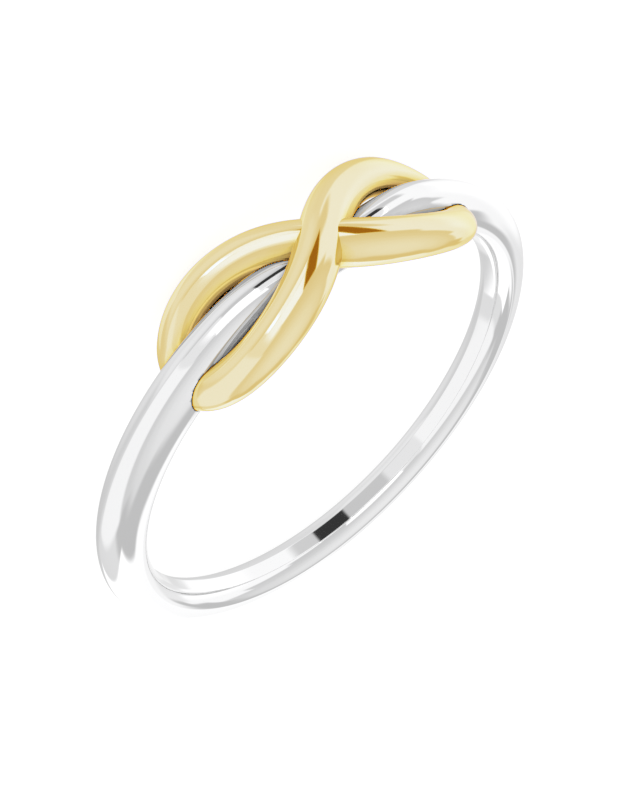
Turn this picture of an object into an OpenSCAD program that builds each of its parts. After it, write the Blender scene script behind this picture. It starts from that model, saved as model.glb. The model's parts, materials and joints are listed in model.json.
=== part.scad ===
// Two-tone ring: a plain band laced through a figure of eight bent from wire.
// The ring lies on its side, as it rests by itself. Its axis leans a little from +Z because the figure
// of eight is wider than the band. The origin is the centre of the finger hole, and +X points to the
// crossing of the figure of eight. All lengths are in millimetres and all angles in degrees.

/* [Finger hole] */
// Inner diameter of the ring
bore_d = 17.3; // [14:0.1:23]

/* [Band] */
// Width of the band along the finger
band_w = 1.7; // [1.2:0.05:2.2]
// Thickness of the band from the finger hole outwards
band_t = 1.65; // [1.4:0.05:2.2]
// Width of the flat inside the band
flat_w = 0.6; // [0.3:0.05:1]
// Height of the band's widest place over the finger hole
waist_h = 0.55; // [0.4:0.05:1]
// Thickness of the band at its thinnest, under the crossing
strap_t = 1.05; // [0.8:0.05:1.15]
// Width of the band at its thinnest
strap_w = 1.6; // [1:0.05:1.7]
// Length along the finger hole from the crossing back to the band's thinnest place
strap_back = 0.7; // [0.2:0.1:1.2]
// Length of full band between the dip and the notch for the wire behind the crossing
full_back = 0.35; // [0.3:0.05:0.8]
// Length of full band between the dip and the notch for the wire ahead of the crossing
full_ahead = 0.55; // [0.3:0.05:1.2]

/* [Figure of eight] */
// Length along the finger hole from the crossing to the wire's turn under the band
span_l = 5.45; // [5:0.05:6.5]
// Distance of the wire's middle from the band's middle plane where it is greatest
reach = 1.58; // [1.4:0.02:1.9]
// How full the two loops are, from a plain figure of eight at 0
fullness = 0.137; // [0:0.01:0.2]
// How far the widest place of each loop lies towards its end
lean = 0.07; // [0:0.01:0.15]
// Width of the wire at the crossing
cross_w = 1.55; // [1.2:0.05:1.7]
// Thickness of the wire at the crossing
cross_t = 1.58; // [1.3:0.02:1.8]
// Width of the wire at the ends
end_w = 1.38; // [1.1:0.02:1.5]
// Thickness of the wire at the ends, beside the band
end_t = 1; // [0.8:0.05:1.2]
// Thickness of the wire where it is flattened under the band
tuck_t = 0.84; // [0.6:0.02:0.9]
// Distance beyond the band's side at which the wire starts to flatten
tuck_lead = 0.15; // [0.05:0.05:0.3]
// Height of the upper strand's middle over the finger hole at the crossing
over_rise = 1.28; // [1.15:0.02:1.5]
// Height of the lower strand's middle over the finger hole at the crossing
under_rise = 1.06; // [0.9:0.02:1.1]
// Height of the wire's middle over the finger hole at the ends, beside the band
end_rise = 0.65; // [0.55:0.01:0.75]
// How much the wire arches outwards half way along each loop
arch = 0.13; // [0:0.01:0.2]

/* [Fit] */
// Gap between the band and the figure of eight
gap = 0.06; // [0.04:0.01:0.1]
// Height of the flattened wire over the finger hole
inside_gap = 0.02; // [0.01:0.01:0.05]

/* [Smoothness] */
// Sides of the band's section from the flat to its widest place
inner_steps = 5; // [3:1:8]
// Sides of the band's section over its outer half
outer_steps = 14; // [8:2:20]
// Sides of the wire's section
wire_sides = 20; // [12:2:28]
// Sections along each strand of the figure of eight
strand_steps = 56; // [36:4:80]
// Angle between the sections along the band's dip
dip_step = 1.25; // [0.8:0.05:2]
// Sides of the band round the finger
hoop_sides = 180; // [120:12:240]

/* [Hidden] */

bore_r = bore_d / 2;
// Angle round the finger of a length along the finger hole
function turn_by(length) = length / bore_r * 180 / PI;
// Angle round the finger from the crossing to the wire's turn
span_angle = turn_by(span_l);
// Wire angle from a crossing at which the band's notches for the wire start
notch_from = 60;
// Angles round the finger from the crossing to the dip's ends and to the band's thinnest place
dip_start = turn_by(full_back) - wire_angle(notch_from);
dip_end = wire_angle(notch_from) - turn_by(full_ahead);
strap_angle = -turn_by(strap_back);
// Angle by which the dip's stretch runs into the rest of the band, and how much slimmer it is there
seam_lap = 0.5;
seam_step = 0.01;
// Angle by which the figure of eight's groove for the band reaches past the notches' start
groove_lap = 1.5;
groove_angle = wire_angle(notch_from) + groove_lap;
// Distance from the middle plane at which the wire starts to flatten, and the wire angle on each side
// of a turn inside which it does
tuck_reach = band_w / 2 + tuck_lead;
tuck_span = 30;
// Angle step for the wire's direction
direction_step = 0.05;

// Smooth change from 0 to 1
function ease(x) = let(s = min(1, max(0, x))) s * s * (3 - 2 * s);
function unit(v) = v / norm(v);
function mix(a, b, share) = a + (b - a) * share;

// Share of the dip at an angle from the crossing
function dip(angle) =
    let(full = angle < strap_angle ? dip_start : dip_end)
    ease((angle - full) / (strap_angle - full));
function band_height(angle) = mix(band_t, strap_t, dip(angle));
function band_half_w(angle) = mix(band_w, strap_w, dip(angle)) / 2;
function band_waist(angle) = waist_h * band_height(angle) / band_t;

// The band's section as [height over the finger hole, distance from the middle plane], grown by a
// margin all round: an oval with a flat along the finger hole
function band_section(angle, margin = 0) =
    let(
        half = band_half_w(angle) + margin,
        waist = band_waist(angle),
        foot_angle = asin((flat_w / 2 + margin) / half),
        inner = (waist + margin) / cos(foot_angle),
        outer = band_height(angle) - waist + margin
    )
    [
        for (i = [0 : inner_steps])
            let(a = mix(foot_angle, 90, i / inner_steps))
            [waist - inner * cos(a), -half * sin(a)],
        for (i = [1 : outer_steps - 1])
            let(a = 180 * i / outer_steps)
            [waist + outer * sin(a), -half * cos(a)],
        for (i = [inner_steps : -1 : 0])
            let(a = mix(foot_angle, 90, i / inner_steps))
            [waist - inner * cos(a), half * sin(a)]
    ];

function round_finger(height, angle, z) =
    [(bore_r + height) * cos(angle), (bore_r + height) * sin(angle), z];

// The wire's middle line, with u running once round the figure of eight: 0 is the upper strand's
// crossing, 180 the lower strand's, and 90 and 270 are the turns under the band
function wire_angle(u) = span_angle * (sin(u) - fullness * sin(3 * u)) / (1 + fullness);
function wire_z(u) = reach * (sin(2 * u) - lean * sin(4 * u));
function tuck(u) = ease(1 - abs(wire_z(u)) / tuck_reach) * ease(1 - abs(cos(u)) / sin(tuck_span));
function plain_rise(u) =
    (over_rise + under_rise) / 4 * (1 + cos(2 * u))
    + (over_rise - under_rise) / 2 * cos(u)
    + end_rise / 2 * (1 - cos(2 * u))
    + arch * (1 - cos(4 * u)) / 2;
function wire_rise(u) = mix(plain_rise(u), tuck_t / 2 + inside_gap, tuck(u));
function wire_half_w(u) = mix(end_w, cross_w, (1 + cos(2 * u)) / 2) / 2;
function wire_half_t(u) = mix(mix(end_t, cross_t, (1 + cos(2 * u)) / 2), tuck_t, tuck(u)) / 2;
function wire_point(u) = round_finger(wire_rise(u), wire_angle(u), wire_z(u));

// The wire's oval section, grown by a margin all round
function wire_ring(u, margin = 0) =
    let(
        middle = wire_point(u),
        along = unit(wire_point(u + direction_step) - wire_point(u - direction_step)),
        out = [cos(wire_angle(u)), sin(wire_angle(u)), 0],
        up = unit(out - (out * along) * along),
        side = cross(along, up)
    )
    [
        for (i = [0 : wire_sides - 1])
            let(a = 360 * i / wire_sides)
            middle + (wire_half_w(u) + margin) * cos(a) * side + (wire_half_t(u) + margin) * sin(a) * up
    ];

// A closed skin through a list of rings of equally many points, with a flat cap on each end
module loft(rings) {
    sides = len(rings[0]);
    last = len(rings) - 1;
    polyhedron(
        points = [for (ring = rings) each ring],
        faces = [
            for (k = [1 : sides - 2]) [0, k + 1, k],
            for (j = [0 : last - 1], i = [0 : sides - 1])
                let(n = (i + 1) % sides, here = j * sides, there = here + sides)
                each [[here + i, there + n, there + i], [here + i, here + n, there + n]],
            for (k = [1 : sides - 2]) [last * sides, last * sides + k, last * sides + k + 1]
        ]
    );
}

// The band between two angles from the crossing, grown by a margin
module band_stretch(from, to, margin = 0) {
    steps = ceil((to - from) / dip_step);
    loft([
        for (j = [0 : steps])
            let(angle = mix(from, to, j / steps))
            [for (p = band_section(angle, margin)) round_finger(p[0], angle, p[1])]
    ]);
}

// The wire between two of its angles, grown by a margin
module wire_stretch(from, to, steps, margin = 0) {
    loft([for (j = [0 : steps]) wire_ring(mix(from, to, j / steps), margin)]);
}

module shank() {
    rotate_extrude(angle = 360 + dip_start - dip_end, start = dip_end, $fn = hoop_sides)
        polygon([for (p = band_section(dip_end)) [bore_r + p[0], p[1]]]);
}

module notches() {
    notch_steps = ceil(strand_steps * (180 - 2 * notch_from) / 180);
    for (turn = [0, 180])
        wire_stretch(turn + notch_from, turn + 180 - notch_from, notch_steps, gap);
}

module band() {
    color("gainsboro")
        union() {
            difference() {
                shank();
                notches();
            }
            band_stretch(dip_start - seam_lap, dip_end + seam_lap, -seam_step);
        }
}

module infinity() {
    color("goldenrod")
        difference() {
            union() {
                wire_stretch(-90, 90, strand_steps);
                wire_stretch(90, 270, strand_steps);
            }
            band_stretch(-groove_angle, groove_angle, gap);
        }
}

// How far the ring leans when both loops and the back of the band touch the surface. A loop touches it
// at this wire angle from the crossing.
lobe_u = 49;
lobe_x = (bore_r + plain_rise(lobe_u)) * cos(wire_angle(lobe_u));
lobe_z = wire_z(lobe_u) + wire_half_w(lobe_u);
back_x = bore_r + waist_h;
rest_tilt = atan((lobe_z - band_w / 2) / (lobe_x + back_x));

module at_rest() {
    rotate([0, -rest_tilt, 0]) children();
}

at_rest() band();
at_rest() infinity();
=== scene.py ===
# Two-tone infinity ring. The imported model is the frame, and both of its pieces are rebuilt here from
# the same sizes as smooth, polished metal. Sizes are in millimetres until a mesh is finished.
from collections import namedtuple
import json
import math

import bpy
import numpy as np
from mathutils import Matrix, Vector
from mathutils.bvhtree import BVHTree


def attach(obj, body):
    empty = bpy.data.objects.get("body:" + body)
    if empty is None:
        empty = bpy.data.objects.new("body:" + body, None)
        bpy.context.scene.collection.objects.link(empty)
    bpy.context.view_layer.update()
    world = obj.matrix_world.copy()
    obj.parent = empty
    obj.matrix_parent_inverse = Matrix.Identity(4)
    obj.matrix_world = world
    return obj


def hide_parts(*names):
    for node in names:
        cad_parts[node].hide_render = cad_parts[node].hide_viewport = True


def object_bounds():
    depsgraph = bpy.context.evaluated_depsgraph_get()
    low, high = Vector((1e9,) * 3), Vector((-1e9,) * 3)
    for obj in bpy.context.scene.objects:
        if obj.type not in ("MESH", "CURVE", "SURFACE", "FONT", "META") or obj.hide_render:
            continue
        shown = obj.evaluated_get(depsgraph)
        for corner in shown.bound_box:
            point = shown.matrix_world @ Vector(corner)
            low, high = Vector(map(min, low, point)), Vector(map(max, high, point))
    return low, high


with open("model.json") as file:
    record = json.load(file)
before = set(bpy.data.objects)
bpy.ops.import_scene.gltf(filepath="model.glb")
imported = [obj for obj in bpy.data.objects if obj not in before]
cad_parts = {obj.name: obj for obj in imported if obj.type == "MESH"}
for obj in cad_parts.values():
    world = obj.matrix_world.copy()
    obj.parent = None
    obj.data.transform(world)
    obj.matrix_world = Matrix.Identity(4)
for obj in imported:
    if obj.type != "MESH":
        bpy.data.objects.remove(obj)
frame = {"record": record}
cad_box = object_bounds()

MM = 0.001

# Finger hole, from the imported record
bore = frame["record"]["mounts"][0]
BORE_R = bore["dims"]["r_mm"]
# From the ring's own axes to the frame, in which it lies on its side
LYING = Matrix.Rotation(math.atan2(bore["axis"][0], bore["axis"][2]), 4, "Y")

# Band
BAND_W = 1.7
BAND_T = 1.65
FLAT_W = 0.6
WAIST_H = 0.55
STRAP_T = 1.05
STRAP_W = 1.6
STRAP_BACK = 0.7
FULL_BACK = 0.35
FULL_AHEAD = 0.55
# How far the polish rounds the edge of the flat inside the band
FOOT_ROUND = 0.035

# Figure of eight
SPAN_L = 5.45
REACH = 1.58
FULLNESS = 0.137
LEAN = 0.07
CROSS_W = 1.55
CROSS_T = 1.58
END_W = 1.38
END_T = 1.0
TUCK_T = 0.84
TUCK_LEAD = 0.15
TUCK_SPAN = math.radians(30)
OVER_RISE = 1.28
UNDER_RISE = 1.06
END_RISE = 0.65
ARCH = 0.13
INSIDE_GAP = 0.02

# How closely the two metals meet
GAP = 0.02
# Wire angle at which the band's notches for the wire start, and how much farther round the finger the
# wire's groove for the band reaches
NOTCH_FROM = math.radians(60)
GROOVE_LAP = math.radians(1.5)

# Fineness of the meshes
HOOP_STEPS = 720
SECTION_STEPS = 84
FOOT_STEPS = 5
STRAND_STEPS = 300
WIRE_SIDES = 88
GROOVE_STEPS = 160
NOTCH_STEPS = 100
DIRECTION_STEP = 1e-4
SHARP_ANGLE = math.radians(16)

# Camera, fitted to the photograph: where it stands round the object, how it is turned about its own
# line of sight, how far it is from the finger hole's centre, and how far it aims beside that centre
VIEW_AZIMUTH = 24.05
VIEW_ELEVATION = 30.69
VIEW_ROLL = 131.11
VIEW_DISTANCE = 41.946
VIEW_RIGHT = -0.325
VIEW_UP = 0.652
LENS = 49.37
SENSOR = 36
# Nearest and farthest distance that it sees, in metres
CLIP_START = 0.001
CLIP_END = 10

# The studio round the ring, which polished metal mirrors: panels and flags on a pale surround, each
# between two azimuths and two elevations in degrees, with a soft edge and a brightness. A later one
# stands in front of the earlier ones.
Panel = namedtuple("Panel", "left right low high edge light")
PANELS = [
    Panel(left=-20, right=62, low=-64, high=-34, edge=16, light=0.94),
    Panel(left=66, right=180, low=-56, high=-35, edge=14, light=0.74),
    Panel(left=146, right=204, low=30, high=56, edge=14, light=0.62),
    Panel(left=126, right=236, low=18, high=40, edge=10, light=0.62),
    Panel(left=122, right=152, low=-34, high=22, edge=8, light=0.86),
    Panel(left=-136, right=-54, low=-38, high=23, edge=6, light=1.12),
    Panel(left=-66, right=-30, low=-38, high=16, edge=6, light=1.12),
    Panel(left=-122, right=-91, low=0, high=33, edge=5, light=1.12),
    Panel(left=-130, right=-82, low=-32, high=8, edge=20, light=1.28),
    Panel(left=44, right=130, low=-28, high=29, edge=7, light=1.07),
    Panel(left=20, right=46, low=-22, high=25, edge=4, light=0.92),
    Panel(left=204, right=230, low=-30, high=16, edge=8, light=0.98),
    Panel(left=190, right=212, low=-30, high=26, edge=8, light=1.12),
    Panel(left=149, right=196, low=-28, high=28, edge=3, light=1.3),
    Panel(left=179, right=196, low=0, high=33, edge=6, light=1.2),
    Panel(left=-46, right=-24, low=-32, high=-12, edge=8, light=0.72),
    Panel(left=2, right=32, low=-9, high=18, edge=10, light=1.28),
    Panel(left=-9, right=18, low=-9, high=18, edge=2, light=1.3),
    Panel(left=-30, right=-9, low=-21, high=14, edge=2, light=0.04),
]

# Brightness of the pale surround by elevation
Height = namedtuple("Height", "elevation light")
SURROUND = [
    Height(elevation=-90, light=0.95),
    Height(elevation=-72, light=0.88),
    Height(elevation=-58, light=0.83),
    Height(elevation=-40, light=0.84),
    Height(elevation=-30, light=0.80),
    Height(elevation=-22, light=0.66),
    Height(elevation=12, light=0.66),
    Height(elevation=24, light=0.70),
    Height(elevation=36, light=0.75),
    Height(elevation=48, light=0.83),
    Height(elevation=60, light=0.90),
    Height(elevation=74, light=0.95),
    Height(elevation=90, light=0.97),
]
# Brightness of what the camera sees behind the ring
BACKDROP = 1.0

# Cards that light one piece alone, each round a direction and so many degrees wide and tall
Card = namedtuple("Card", "azimuth elevation wide tall light")
BAND_CARDS = [
    Card(azimuth=-19, elevation=4, wide=24, tall=22, light=0.9),
    Card(azimuth=8, elevation=24, wide=40, tall=13, light=0.5),
]
INFINITY_CARDS = [
    Card(azimuth=150, elevation=-78, wide=60, tall=28, light=0.2),
    Card(azimuth=10, elevation=-16, wide=40, tall=13, light=0.6),
]
# Distance of the cards in metres
CARD_DISTANCE = 0.4

# The floor, in metres: it glows a little, so that it is as pale as the backdrop
FLOOR_HALF = 1.0
FLOOR_GREY = 0.3
FLOOR_ROUGHNESS = 0.6
FLOOR_GLOW = 0.8

# How far a gap between the metals reaches, how soon nearer metal shuts it off, how many ways a point
# looks out of it, and how far off the metal it starts to look
# How open a point is darkens the metals' colours there, as painted shade in the recesses.
RECESS_REACH = 1.3
RECESS_FALLOFF = 0.5
RECESS_RAYS = 28
RECESS_START = 0.004

# Each metal: its colour by how open a point is, from deep in a gap to the clear, darker in the gap as
# painted shade; the grey that it shows in other metal's mirror image, painted shade in place of its own
# reflection; its colour at a grazing angle, and its roughness
Shade = namedtuple("Shade", "openness color")
Metal = namedtuple("Metal", "slot shades mirrored edge roughness")
WHITE_GOLD = Metal(
    slot="white_gold",
    # Painted shade: darker towards the gaps between the metals
    shades=[
        Shade(openness=0.16, color=(0.06, 0.06, 0.06)),
        Shade(openness=0.32, color=(0.24, 0.24, 0.24)),
        Shade(openness=0.42, color=(0.42, 0.42, 0.42)),
        Shade(openness=0.56, color=(0.62, 0.62, 0.62)),
        Shade(openness=0.66, color=(0.73, 0.73, 0.73)),
        Shade(openness=0.76, color=(0.85, 0.85, 0.855)),
    ],
    # Grey of the painted shade that stands for this metal in other metal's mirror image
    mirrored=0.92,
    edge=(0.88, 0.88, 0.88),
    roughness=0.05,
)
YELLOW_GOLD = Metal(
    slot="yellow_gold",
    # Painted shade: darker and browner towards the gaps between the metals
    shades=[
        Shade(openness=0.16, color=(0.28, 0.15, 0.05)),
        Shade(openness=0.32, color=(0.48, 0.28, 0.09)),
        Shade(openness=0.48, color=(0.63, 0.43, 0.14)),
        Shade(openness=0.64, color=(0.74, 0.56, 0.20)),
        Shade(openness=0.80, color=(0.82, 0.69, 0.36)),
        Shade(openness=0.95, color=(0.865, 0.755, 0.45)),
    ],
    # Grey of the painted shade that stands for this metal in other metal's mirror image
    mirrored=0.6,
    edge=(0.93, 0.84, 0.62),
    roughness=0.09,
)
# The polish: a fine haze in the gloss, and broader waves in the surface, by their count in a metre.
# The waves' depth is in metres.
HAZE_SCALE = 900
HAZE_DETAIL = 4
WAVE_SCALE = 500
WAVE_DETAIL = 2
WAVE_STRENGTH = 0.25
WAVE_DEPTH = 0.00001
# A Mix node's sockets for colours
MIX_FIRST = 6
MIX_SECOND = 7
MIX_RESULT = 2

# The grade: it starts and is whole at these saturations, and fades out between these higher ones
GRADE_FROM = 0.10
GRADE_WHOLE = 0.40
GRADE_FADES = 0.60
GRADE_ENDS = 0.78
GRADE_SLOPE = (0.64, 0.837, 1.42)
GRADE_OFFSET = (0.025, 0.028, 0.055)
GRADE_POWER = (0.35, 0.72, 2.0)


def ease(x):
    """Smooth change from 0 to 1."""
    s = np.clip(x, 0, 1)
    return s * s * (3 - 2 * s)


def mix(a, b, share):
    return a + (b - a) * share


def turn_by(length):
    """Angle round the finger of a length along the finger hole."""
    return length / BORE_R


def round_finger(height, angle, z):
    """Points at heights over the finger hole, angles from the crossing and distances from the middle
    plane."""
    r = BORE_R + height
    return np.stack(np.broadcast_arrays(r * np.cos(angle), r * np.sin(angle), z), axis=-1)


# The wire's middle line, with u running once round the figure of eight: 0 is the upper strand's
# crossing, pi the lower strand's, and the turns under the band lie half way between
def wire_angle(u):
    return turn_by(SPAN_L) * (np.sin(u) - FULLNESS * np.sin(3 * u)) / (1 + FULLNESS)


def wire_z(u):
    return REACH * (np.sin(2 * u) - LEAN * np.sin(4 * u))


def tuck(u):
    """Share of the wire's flattening under the band."""
    beside = ease(1 - abs(wire_z(u)) / (BAND_W / 2 + TUCK_LEAD))
    return beside * ease(1 - abs(np.cos(u)) / math.sin(TUCK_SPAN))


def wire_rise(u):
    plain = (
        (OVER_RISE + UNDER_RISE) / 4 * (1 + np.cos(2 * u))
        + (OVER_RISE - UNDER_RISE) / 2 * np.cos(u)
        + END_RISE / 2 * (1 - np.cos(2 * u))
        + ARCH * (1 - np.cos(4 * u)) / 2
    )
    return mix(plain, TUCK_T / 2 + INSIDE_GAP, tuck(u))


def wire_point(u):
    return round_finger(wire_rise(u), wire_angle(u), wire_z(u))


def unit(v):
    return v / np.linalg.norm(v, axis=-1, keepdims=True)


def wire_rings(start, end, steps, margin=0.0):
    """Oval sections of the wire between two of its angles, grown by a margin."""
    u = np.linspace(start, end, steps + 1)
    middle = wire_point(u)
    along = unit(wire_point(u + DIRECTION_STEP) - wire_point(u - DIRECTION_STEP))
    out = round_finger(1 - BORE_R, wire_angle(u), 0 * u)
    up = unit(out - (out * along).sum(-1, keepdims=True) * along)
    side = np.cross(along, up)
    crossing = (1 + np.cos(2 * u)) / 2
    half_w = mix(END_W, CROSS_W, crossing) / 2 + margin
    half_t = mix(mix(END_T, CROSS_T, crossing), TUCK_T, tuck(u)) / 2 + margin
    a = np.arange(WIRE_SIDES) * 2 * math.pi / WIRE_SIDES
    across = (half_w[:, None] * np.cos(a))[..., None] * side[:, None]
    outwards = (half_t[:, None] * np.sin(a))[..., None] * up[:, None]
    return middle[:, None] + across + outwards


# Angles from the crossing to the dip's ends and to the band's thinnest place
DIP_START = turn_by(FULL_BACK) - wire_angle(NOTCH_FROM)
DIP_END = wire_angle(NOTCH_FROM) - turn_by(FULL_AHEAD)
STRAP_ANGLE = -turn_by(STRAP_BACK)


def dip(angle):
    """Share of the dip under the crossing at angles from the crossing."""
    full = np.where(angle < STRAP_ANGLE, DIP_START, DIP_END)
    return ease((angle - full) / (STRAP_ANGLE - full))


def band_rings(angles, margin=0.0):
    """Sections of the band at angles from the crossing: an oval with a flat along the finger hole."""
    share = dip(angles)[:, None]
    height = mix(BAND_T, STRAP_T, share)
    half = mix(BAND_W, STRAP_W, share) / 2 + margin
    waist = WAIST_H * height / BAND_T
    foot = np.arcsin((FLAT_W / 2 + margin) / half)
    inner = (waist + margin) / np.cos(foot)
    outer = height - waist + margin

    quarter = SECTION_STEPS // 4
    rounded = foot + FOOT_ROUND / half
    a = mix(rounded, math.pi / 2, np.linspace(0, 1, quarter)[None, :])
    flank_h = waist - inner * np.cos(a)
    flank_z = half * np.sin(a)
    b = np.linspace(0, math.pi, 2 * quarter + 1)[None, 1:-1]
    top_h = waist + outer * np.sin(b)
    top_z = -half * np.cos(b)

    # The edge of the flat is a small curve from the flat to the flank
    t = np.linspace(0, 1, FOOT_STEPS + 1)[None, :-1]
    edge_z = FLAT_W / 2 + margin
    flat_z = edge_z - FOOT_ROUND
    curve_h = (1 - t) ** 2 * -margin + 2 * t * (1 - t) * -margin + t * t * flank_h[:, :1]
    curve_z = (1 - t) ** 2 * flat_z + 2 * t * (1 - t) * edge_z + t * t * flank_z[:, :1]

    heights = np.hstack([curve_h, flank_h, top_h, flank_h[:, ::-1], curve_h[:, ::-1]])
    across = np.hstack([-curve_z, -flank_z, top_z, flank_z[:, ::-1], curve_z[:, ::-1]])
    return round_finger(heights, angles[:, None], across)


def signed_volume(mesh):
    """A closed mesh's volume, negative if it is inside out."""
    mesh.calc_loop_triangles()
    points = np.empty(len(mesh.vertices) * 3)
    mesh.vertices.foreach_get("co", points)
    corners = np.empty(len(mesh.loop_triangles) * 3, dtype=np.int32)
    mesh.loop_triangles.foreach_get("vertices", corners)
    a, b, c = points.reshape(-1, 3)[corners.reshape(-1, 3)].transpose(1, 0, 2)
    return (a * np.cross(b, c)).sum() / 6


def loft(name, rings, closed=False):
    """A mesh skin through rings of equally many points, joined up or with a cap on each end."""
    count, sides = rings.shape[:2]
    faces = []
    for j in range(count if closed else count - 1):
        here, there = j * sides, (j + 1) % count * sides
        for i in range(sides):
            n = (i + 1) % sides
            faces.append((here + i, here + n, there + n, there + i))
    if not closed:
        faces.append(tuple(reversed(range(sides))))
        faces.append(tuple(range((count - 1) * sides, count * sides)))
    mesh = bpy.data.meshes.new(name)
    mesh.from_pydata(rings.reshape(-1, 3).tolist(), [], faces)
    mesh.update()
    if signed_volume(mesh) < 0:
        mesh.flip_normals()
    piece = bpy.data.objects.new(name, mesh)
    bpy.context.scene.collection.objects.link(piece)
    return piece


def combine(piece, operation, others):
    """Joins the others to the piece, or cuts them out of it, and removes them."""
    for other in others:
        change = piece.modifiers.new(operation.title(), "BOOLEAN")
        change.operation = operation
        change.solver = "MANIFOLD"
        change.object = other
    bpy.context.view_layer.update()
    changed = piece.evaluated_get(bpy.context.evaluated_depsgraph_get())
    made = bpy.data.meshes.new_from_object(changed)
    piece.modifiers.clear()
    piece.data = made
    for other in others:
        bpy.data.objects.remove(other)


def finish_mesh(piece, material):
    """Puts the piece in its place in metres, with smooth shading, crisp cut edges and the metal."""
    mesh = piece.data
    mesh.transform(LYING @ Matrix.Scale(MM, 4))
    mesh.polygons.foreach_set("use_smooth", [True] * len(mesh.polygons))
    mesh.set_sharp_from_angle(angle=SHARP_ANGLE)
    mesh.materials.clear()
    mesh.materials.append(material)
    mesh.update()


def make_band(material):
    angles = np.arange(HOOP_STEPS) * 2 * math.pi / HOOP_STEPS - math.pi
    band = loft("polished_band", band_rings(angles), closed=True)
    notches = [
        loft("notch", wire_rings(turn + NOTCH_FROM, turn + math.pi - NOTCH_FROM, NOTCH_STEPS, GAP))
        for turn in (0, math.pi)
    ]
    combine(band, "DIFFERENCE", notches)
    finish_mesh(band, material)
    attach(band, "root")
    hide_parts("band")
    return band


def make_infinity(material):
    quarter = math.pi / 2
    infinity = loft("polished_infinity", wire_rings(-quarter, quarter, STRAND_STEPS))
    other = loft("strand", wire_rings(quarter, 3 * quarter, STRAND_STEPS))
    combine(infinity, "UNION", [other])
    reach = wire_angle(NOTCH_FROM) + GROOVE_LAP
    groove = loft("groove", band_rings(np.linspace(-reach, reach, GROOVE_STEPS + 1), GAP))
    combine(infinity, "DIFFERENCE", [groove])
    finish_mesh(infinity, material)
    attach(infinity, "root")
    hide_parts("infinity")
    return infinity


def surface_tree(pieces):
    """One tree to look up where a ray meets any of the pieces."""
    points, faces = [], []
    for piece in pieces:
        start = len(points)
        points += [v.co.copy() for v in piece.data.vertices]
        faces += [[start + i for i in face.vertices] for face in piece.data.polygons]
    return BVHTree.FromPolygons(points, faces)


def mark_recesses(pieces):
    """Stores on each point how open it is: 1 in the clear, and less the deeper it lies between the
    metals. The metals' colours darken by it, as painted shade in the recesses."""
    everything = surface_tree(pieces)
    reach = RECESS_REACH * MM
    k = np.arange(RECESS_RAYS) + 0.5
    turn = k * math.pi * (3 - math.sqrt(5))
    wide = np.sqrt(k / RECESS_RAYS)
    rays = np.stack([wide * np.cos(turn), wide * np.sin(turn), np.sqrt(1 - wide * wide)], axis=-1)
    for piece, other in (pieces, pieces[::-1]):
        mesh = piece.data
        near = surface_tree([other])
        is_open = np.ones(len(mesh.vertices))
        for vertex in mesh.vertices:
            if near.find_nearest(vertex.co, reach)[0] is None:
                continue
            normal = vertex.normal
            side = normal.orthogonal().normalized()
            up = normal.cross(side)
            start = vertex.co + normal * RECESS_START * MM
            shut = 0.0
            for x, y, z in rays:
                distance = everything.ray_cast(start, side * x + up * y + normal * z, reach)[3]
                if distance is not None:
                    shut += (1 - distance / reach) ** RECESS_FALLOFF
            is_open[vertex.index] = 1 - shut / RECESS_RAYS
        layer = mesh.attributes.new("open", "FLOAT", "POINT")
        layer.data.foreach_set("value", is_open)


def math_node(tree, operation, *values):
    """A math node on sockets or plain numbers; gives its output socket."""
    node = tree.nodes.new("ShaderNodeMath")
    node.operation = operation
    for place, value in zip(node.inputs, values):
        if isinstance(value, (int, float)):
            place.default_value = value
        else:
            tree.links.new(value, place)
    return node.outputs[0]


def soft_step(tree, value, start, end):
    """Smooth change from 0 at the start to 1 at the end."""
    node = tree.nodes.new("ShaderNodeMapRange")
    node.interpolation_type = "SMOOTHSTEP"
    node.inputs["From Min"].default_value = start
    node.inputs["From Max"].default_value = end
    tree.links.new(value, node.inputs["Value"])
    return node.outputs["Result"]


def noise(tree, place, scale, detail):
    node = tree.nodes.new("ShaderNodeTexNoise")
    node.inputs["Scale"].default_value = scale
    node.inputs["Detail"].default_value = detail
    tree.links.new(place, node.inputs["Vector"])
    return node.outputs["Fac"]


def paint_shade_by_openness(tree, shades):
    """Painted shade: the metal's colour, darker the less open a point is, as shade deep between the
    metals.
    """
    mark = tree.nodes.new("ShaderNodeAttribute")
    mark.attribute_name = "open"
    ramp = tree.nodes.new("ShaderNodeValToRGB")
    stops = ramp.color_ramp.elements
    for shade, stop in zip((shades[0], shades[-1]), stops):
        stop.position = shade.openness
        stop.color = (*shade.color, 1)
    for shade in shades[1:-1]:
        stops.new(shade.openness).color = (*shade.color, 1)
    tree.links.new(mark.outputs["Fac"], ramp.inputs["Fac"])
    return ramp.outputs["Color"]


def paint_shade_in_mirror(tree, color, grey):
    """The colour where it is seen straight, and a plain grey where other metal mirrors it: painted
    shade in place of the metal's own reflection.
    """
    seen = tree.nodes.new("ShaderNodeMix")
    seen.data_type = "RGBA"
    in_mirror = tree.nodes.new("ShaderNodeLightPath").outputs["Is Glossy Ray"]
    tree.links.new(in_mirror, seen.inputs["Factor"])
    tree.links.new(color, seen.inputs[MIX_FIRST])
    seen.inputs[MIX_SECOND].default_value = (grey, grey, grey, 1)
    return seen.outputs[MIX_RESULT]


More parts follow.
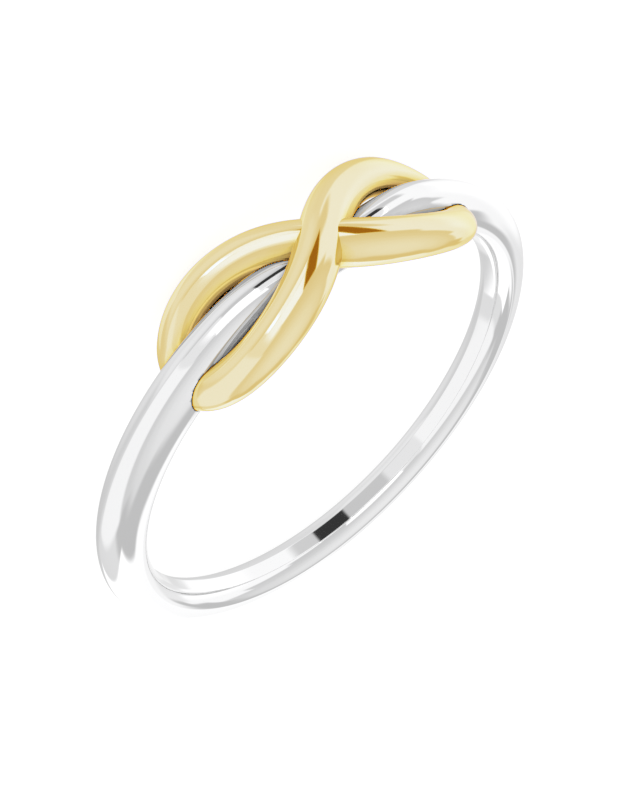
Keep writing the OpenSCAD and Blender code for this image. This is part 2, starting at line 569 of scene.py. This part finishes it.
def polished(kind):
    """Polished metal with painted shade: darker in recesses, and a plain grey where other metal mirrors
    it;
    with the faint unevenness that a polishing wheel leaves.
    """
    material = bpy.data.materials.new(kind.slot)
    material.use_nodes = True
    tree = material.node_tree
    shader = tree.nodes["Principled BSDF"]
    shader.inputs["Metallic"].default_value = 1
    shader.inputs["Specular Tint"].default_value = (*kind.edge, 1)
    # Painted shade in the recesses, and a plain grey as painted shade in other metal's mirror image
    color = paint_shade_in_mirror(tree, paint_shade_by_openness(tree, kind.shades), kind.mirrored)
    tree.links.new(color, shader.inputs["Base Color"])

    place = tree.nodes.new("ShaderNodeTexCoord").outputs["Object"]
    haze = math_node(tree, "SUBTRACT", noise(tree, place, HAZE_SCALE, HAZE_DETAIL), 0.5)
    uneven = math_node(tree, "MULTIPLY", haze, kind.roughness)
    tree.links.new(math_node(tree, "ADD", uneven, kind.roughness), shader.inputs["Roughness"])

    bump = tree.nodes.new("ShaderNodeBump")
    bump.inputs["Strength"].default_value = WAVE_STRENGTH
    bump.inputs["Distance"].default_value = WAVE_DEPTH
    tree.links.new(noise(tree, place, WAVE_SCALE, WAVE_DETAIL), bump.inputs["Height"])
    tree.links.new(bump.outputs["Normal"], shader.inputs["Normal"])
    return material


def make_floor():
    """A plain pale floor under the ring, which the metal doesn't mirror."""
    low = cad_box[0].z
    half = FLOOR_HALF
    mesh = bpy.data.meshes.new("floor")
    corners = [(-half, -half, low), (half, -half, low), (half, half, low), (-half, half, low)]
    mesh.from_pydata(corners, [], [(0, 1, 2, 3)])
    material = bpy.data.materials.new("pale_floor")
    material.use_nodes = True
    shader = material.node_tree.nodes["Principled BSDF"]
    shader.inputs["Base Color"].default_value = (FLOOR_GREY, FLOOR_GREY, FLOOR_GREY, 1)
    shader.inputs["Roughness"].default_value = FLOOR_ROUGHNESS
    shader.inputs["Emission Color"].default_value = (1, 1, 1, 1)
    shader.inputs["Emission Strength"].default_value = FLOOR_GLOW
    mesh.materials.append(material)
    floor = bpy.data.objects.new("floor", mesh)
    bpy.context.scene.collection.objects.link(floor)
    floor.visible_glossy = False


def towards(azimuth, elevation):
    """The direction at an azimuth from +X and an elevation, both in degrees."""
    turn, rise = math.radians(azimuth), math.radians(elevation)
    return Vector((
        math.cos(turn) * math.cos(rise),
        math.sin(turn) * math.cos(rise),
        math.sin(rise),
    ))


def make_camera():
    back = towards(VIEW_AZIMUTH, VIEW_ELEVATION)
    roll = math.radians(VIEW_ROLL)
    level = Vector((0, 0, 1)).cross(back).normalized()
    upright = back.cross(level)
    right = math.cos(roll) * level + math.sin(roll) * upright
    up = back.cross(right)
    data = bpy.data.cameras.new("camera")
    data.lens = LENS
    data.sensor_width = SENSOR
    data.clip_start = CLIP_START
    data.clip_end = CLIP_END
    camera = bpy.data.objects.new("camera", data)
    turned = Matrix((right, up, back)).transposed().to_4x4()
    place = back * VIEW_DISTANCE + right * VIEW_RIGHT + up * VIEW_UP
    camera.matrix_world = Matrix.Translation(place * MM) @ turned
    bpy.context.scene.collection.objects.link(camera)
    bpy.context.scene.camera = camera


def panel_share(tree, azimuth, elevation, panel):
    """How much of a panel lies in a direction: 1 inside it, 0 outside, and between them over its
    edge."""
    middle = (panel.left + panel.right) / 2
    turn = math_node(tree, "WRAP", math_node(tree, "SUBTRACT", azimuth, middle), 180.0, -180.0)
    beside = math_node(tree, "ABSOLUTE", turn)
    half = (panel.right - panel.left) / 2
    across = soft_step(tree, beside, half + panel.edge / 2, half - panel.edge / 2)
    rise = math_node(tree, "SUBTRACT", elevation, (panel.low + panel.high) / 2)
    above = math_node(tree, "ABSOLUTE", rise)
    tall = (panel.high - panel.low) / 2
    upright = soft_step(tree, above, tall + panel.edge / 2, tall - panel.edge / 2)
    return math_node(tree, "MULTIPLY", across, upright)


def make_world():
    world = bpy.data.worlds.new("studio")
    world.use_nodes = True
    tree = world.node_tree
    background = tree.nodes["Background"]
    direction = tree.nodes.new("ShaderNodeSeparateXYZ")
    place = tree.nodes.new("ShaderNodeTexCoord").outputs["Generated"]
    tree.links.new(place, direction.inputs[0])
    x, y, z = direction.outputs
    azimuth = math_node(tree, "DEGREES", math_node(tree, "ARCTAN2", y, x))
    elevation = math_node(tree, "DEGREES", math_node(tree, "ARCSINE", z))

    light = SURROUND[0].light
    for low, high in zip(SURROUND, SURROUND[1:]):
        reached = soft_step(tree, elevation, low.elevation, high.elevation)
        step = math_node(tree, "MULTIPLY", reached, high.light - low.light)
        light = math_node(tree, "ADD", light, step)
    for panel in PANELS:
        share = panel_share(tree, azimuth, elevation, panel)
        change = math_node(tree, "MULTIPLY", share, math_node(tree, "SUBTRACT", panel.light, light))
        light = math_node(tree, "ADD", light, change)

    # The camera sees a plain backdrop in place of the panels
    seen = tree.nodes.new("ShaderNodeLightPath").outputs["Is Camera Ray"]
    change = math_node(tree, "MULTIPLY", seen, math_node(tree, "SUBTRACT", BACKDROP, light))
    tree.links.new(math_node(tree, "ADD", light, change), background.inputs["Strength"])
    background.inputs["Color"].default_value = (1, 1, 1, 1)
    bpy.context.scene.world = world


def make_card(name, piece, card):
    """A lit card that shows in one piece alone."""
    data = bpy.data.lights.new(name, "AREA")
    data.shape = "RECTANGLE"
    data.size = 2 * CARD_DISTANCE * math.tan(math.radians(card.wide / 2))
    data.size_y = 2 * CARD_DISTANCE * math.tan(math.radians(card.tall / 2))
    data.energy = math.pi * data.size * data.size_y * card.light
    away = towards(card.azimuth, card.elevation)
    turned = away.to_track_quat("Z", "Y").to_matrix().to_4x4()
    light = bpy.data.objects.new(name, data)
    light.matrix_world = Matrix.Translation(away * CARD_DISTANCE) @ turned
    light.visible_camera = False
    bpy.context.scene.collection.objects.link(light)
    lit = bpy.data.collections.new(name + "_lit")
    lit.objects.link(piece)
    light.light_linking.receiver_collection = lit


def saturation_step(tree, saturation, start, end):
    """Straight change from 0 at the start to 1 at the end, over the picture."""
    node = tree.nodes.new("CompositorNodeMapRange")
    node.inputs["From Min"].default_value = start
    node.inputs["From Max"].default_value = end
    node.use_clamp = True
    tree.links.new(saturation, node.inputs["Value"])
    return node.outputs[0]


def grade():
    """Colours the picture as the photograph is: in yellow metal, warm brown shadows and cream
    highlights. Grey metal and the deep colours of the recesses stay as they are."""
    scene = bpy.context.scene
    scene.view_settings.view_transform = "Standard"
    scene.use_nodes = True
    tree = scene.node_tree
    tree.nodes.clear()
    picture = tree.nodes.new("CompositorNodeRLayers").outputs["Image"]
    parts = tree.nodes.new("CompositorNodeSeparateColor")
    parts.mode = "HSV"
    tree.links.new(picture, parts.inputs[0])
    saturation = parts.outputs[1]
    yellow = tree.nodes.new("CompositorNodeMath")
    yellow.operation = "MULTIPLY"
    tree.links.new(saturation_step(tree, saturation, GRADE_FROM, GRADE_WHOLE), yellow.inputs[0])
    tree.links.new(saturation_step(tree, saturation, GRADE_ENDS, GRADE_FADES), yellow.inputs[1])
    balance = tree.nodes.new("CompositorNodeColorBalance")
    balance.correction_method = "OFFSET_POWER_SLOPE"
    balance.slope = GRADE_SLOPE
    balance.offset = GRADE_OFFSET
    balance.power = GRADE_POWER
    tree.links.new(picture, balance.inputs["Image"])
    tree.links.new(yellow.outputs[0], balance.inputs["Fac"])
    output = tree.nodes.new("CompositorNodeComposite")
    tree.links.new(balance.outputs["Image"], output.inputs["Image"])


make_camera()
make_world()
make_floor()
band = make_band(polished(WHITE_GOLD))
infinity = make_infinity(polished(YELLOW_GOLD))
mark_recesses([band, infinity])
for piece, cards in ((band, BAND_CARDS), (infinity, INFINITY_CARDS)):
    for number, card in enumerate(cards):
        make_card(f"{piece.name}_card_{number}", piece, card)
grade()
